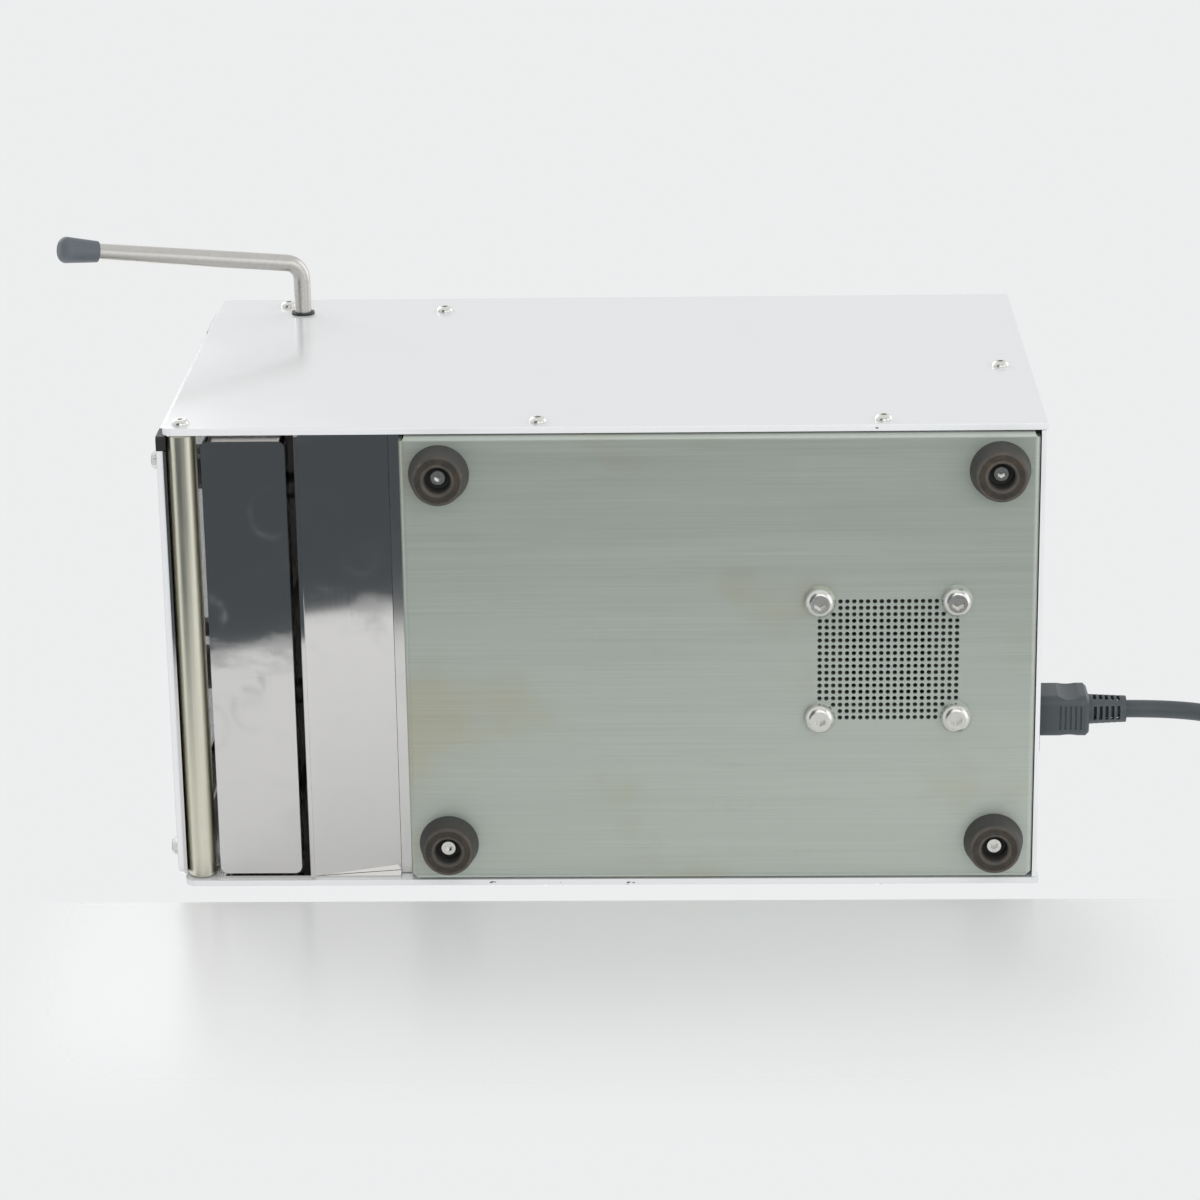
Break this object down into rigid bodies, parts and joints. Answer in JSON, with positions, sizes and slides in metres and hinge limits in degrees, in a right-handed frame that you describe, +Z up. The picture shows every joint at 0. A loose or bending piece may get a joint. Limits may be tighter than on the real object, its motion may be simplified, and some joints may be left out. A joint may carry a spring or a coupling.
{
  "type": "paddle blender",
  "caption": "Bench-top paddle blender with a drop-down windowed door, side lever latch, drip tray, belt-driven paddles, knobs and a detachable mains lead.",
  "frame": {"origin": "centre of the machine's box at bench level, lever and knobs included, without the mains lead", "axes": "+X to the operator's right, +Y to the rear, +Z up"},
  "size_m": [0.267, 0.6857, 0.2411],
  "materials": {
    "zinc_sheet": "zinc plated, brushed",
    "white_coat": "smooth gloss",
    "stainless": "bright",
    "screw_steel": "bright",
    "black_rubber": "matt",
    "black_plastic": "satin",
    "dark_overlay": "satin film",
    "display": "clear over dark",
    "clear_pane": "polished",
    "clear_soft": "translucent",
    "bush_plastic": "turned",
    "aluminium": "machined",
    "motor_paint": "painted",
    "circuit_board": "lacquered",
    "brass": "plated",
    "green_plastic": "moulded",
    "red_plastic": "moulded"
  },
  "bodies": {
    "housing": {"base_plate": "zinc_sheet", "rubber_feet": "black_rubber", "foot_fasteners": "screw_steel", "right_side_panel": "white_coat", "left_side_panel": "white_coat", "side_panel_screws": "screw_steel", "top_cover": "white_coat", "rear_panel": "white_coat", "control_fascia": "white_coat", "control_overlay": "dark_overlay", "display_window": "display", "control_board": "circuit_board", "chamber_back_wall": "stainless", "chamber_liners": "stainless", "chamber_roof": "stainless", "splash_sheet": "stainless", "lever_bushes": "black_plastic", "guide_bushes": "bush_plastic", "bearing_plates": "zinc_sheet", "shaft_bearings": "screw_steel", "motor_body": "motor_paint", "motor_mount": "zinc_sheet", "motor_mount_screws": "screw_steel", "drive_belt": "black_rubber", "power_board": "circuit_board", "board_standoffs": "brass", "power_inlet": "black_plastic", "cord_connector": "black_plastic", "cord_run": "black_rubber", "cord_coil": "black_rubber", "mains_plug": "black_plastic", "plug_pins": "brass"},
    "door": {"door_panel": "white_coat", "door_window": "clear_pane", "door_gasket": "black_rubber", "door_inner_plate": "stainless", "door_hinge_bar": "stainless", "door_hinge_bushes": "bush_plastic", "door_bumpers": "clear_soft", "door_corner_block": "black_plastic", "door_handle": "black_plastic"},
    "lever": {"lever_rod": "stainless", "lever_cap": "black_plastic", "latch_hooks": "stainless"},
    "tray": {"drip_tray": "stainless"},
    "right_paddle_unit": {"right_paddle": "stainless", "right_push_rod": "stainless"},
    "left_paddle_unit": {"left_paddle": "stainless", "left_push_rod": "stainless"},
    "crank": {"crankshaft": "stainless", "crank_pulley": "aluminium"},
    "right_rod": {"right_connecting_rod": "aluminium"},
    "left_rod": {"left_connecting_rod": "aluminium"},
    "motor_rotor": {"motor_shaft": "stainless", "motor_pulley": "aluminium"},
    "time_dial": {"time_knob": "black_plastic"},
    "speed_dial": {"speed_knob": "black_plastic"},
    "start_push": {"start_button": "green_plastic"},
    "stop_push": {"stop_button": "red_plastic"},
    "rocker": {"switch_rocker": "black_plastic"}
  },
  "joints": [
    {"name": "door_swing", "type": "hinge", "parent": "housing", "child": "door", "pos_m": [-0.02416, -0.15218, 0.0195], "axis": [1, 0, 0], "range_deg": [0, 88]},
    {"name": "lever_turn", "type": "hinge", "parent": "housing", "child": "lever", "pos_m": [-0.02416, -0.11778, 0.2135], "axis": [1, 0, 0], "range_deg": [0, 55]},
    {"name": "tray_lift", "type": "slide", "parent": "housing", "child": "tray", "axis": [0, 0, 1], "range_m": [0, 0.02]},
    {"name": "right_paddle_stroke", "type": "slide", "parent": "housing", "child": "right_paddle_unit", "axis": [0, 1, 0], "range_m": [-0.01, 0.01]},
    {"name": "left_paddle_stroke", "type": "slide", "parent": "housing", "child": "left_paddle_unit", "axis": [0, 1, 0], "range_m": [-0.01, 0.01]},
    {"name": "crank_spin", "type": "hinge", "parent": "housing", "child": "crank", "pos_m": [-0.02416, 0.0659, 0.1145], "axis": [1, 0, 0], "continuous": true},
    {"name": "right_rod_pivot", "type": "hinge", "parent": "crank", "child": "right_rod", "pos_m": [0.02634, 0.0659, 0.1245], "axis": [1, 0, 0], "continuous": true},
    {"name": "left_rod_pivot", "type": "hinge", "parent": "crank", "child": "left_rod", "pos_m": [-0.07466, 0.0659, 0.1045], "axis": [1, 0, 0], "continuous": true},
    {"name": "motor_spin", "type": "hinge", "parent": "housing", "child": "motor_rotor", "pos_m": [-0.02416, 0.15532, 0.0625], "axis": [1, 0, 0], "continuous": true},
    {"name": "time_knob_turn", "type": "hinge", "parent": "housing", "child": "time_dial", "pos_m": [-0.09816, -0.16278, 0.215], "axis": [0, 1, 0], "range_deg": [-150, 150]},
    {"name": "speed_knob_turn", "type": "hinge", "parent": "housing", "child": "speed_dial", "pos_m": [0.00584, -0.16278, 0.215], "axis": [0, 1, 0], "range_deg": [-150, 150]},
    {"name": "start_button_press", "type": "slide", "parent": "housing", "child": "start_push", "axis": [0, 1, 0], "range_m": [0, 0.0025], "stiffness_N_per_m": 300},
    {"name": "stop_button_press", "type": "slide", "parent": "housing", "child": "stop_push", "axis": [0, 1, 0], "range_m": [0, 0.0025], "stiffness_N_per_m": 300},
    {"name": "rocker_tip", "type": "hinge", "parent": "housing", "child": "rocker", "pos_m": [-0.06426, 0.21802, 0.0805], "axis": [1, 0, 0], "range_deg": [0, 14]}
  ],
  "couplings": [
    {"joint": "left_paddle_stroke", "follows": "right_paddle_stroke", "ratio": -1},
    {"joint": "right_rod_pivot", "follows": "crank_spin", "ratio": -1},
    {"joint": "left_rod_pivot", "follows": "crank_spin", "ratio": -1},
    {"joint": "motor_spin", "follows": "crank_spin", "ratio": 2.5}
  ]
}
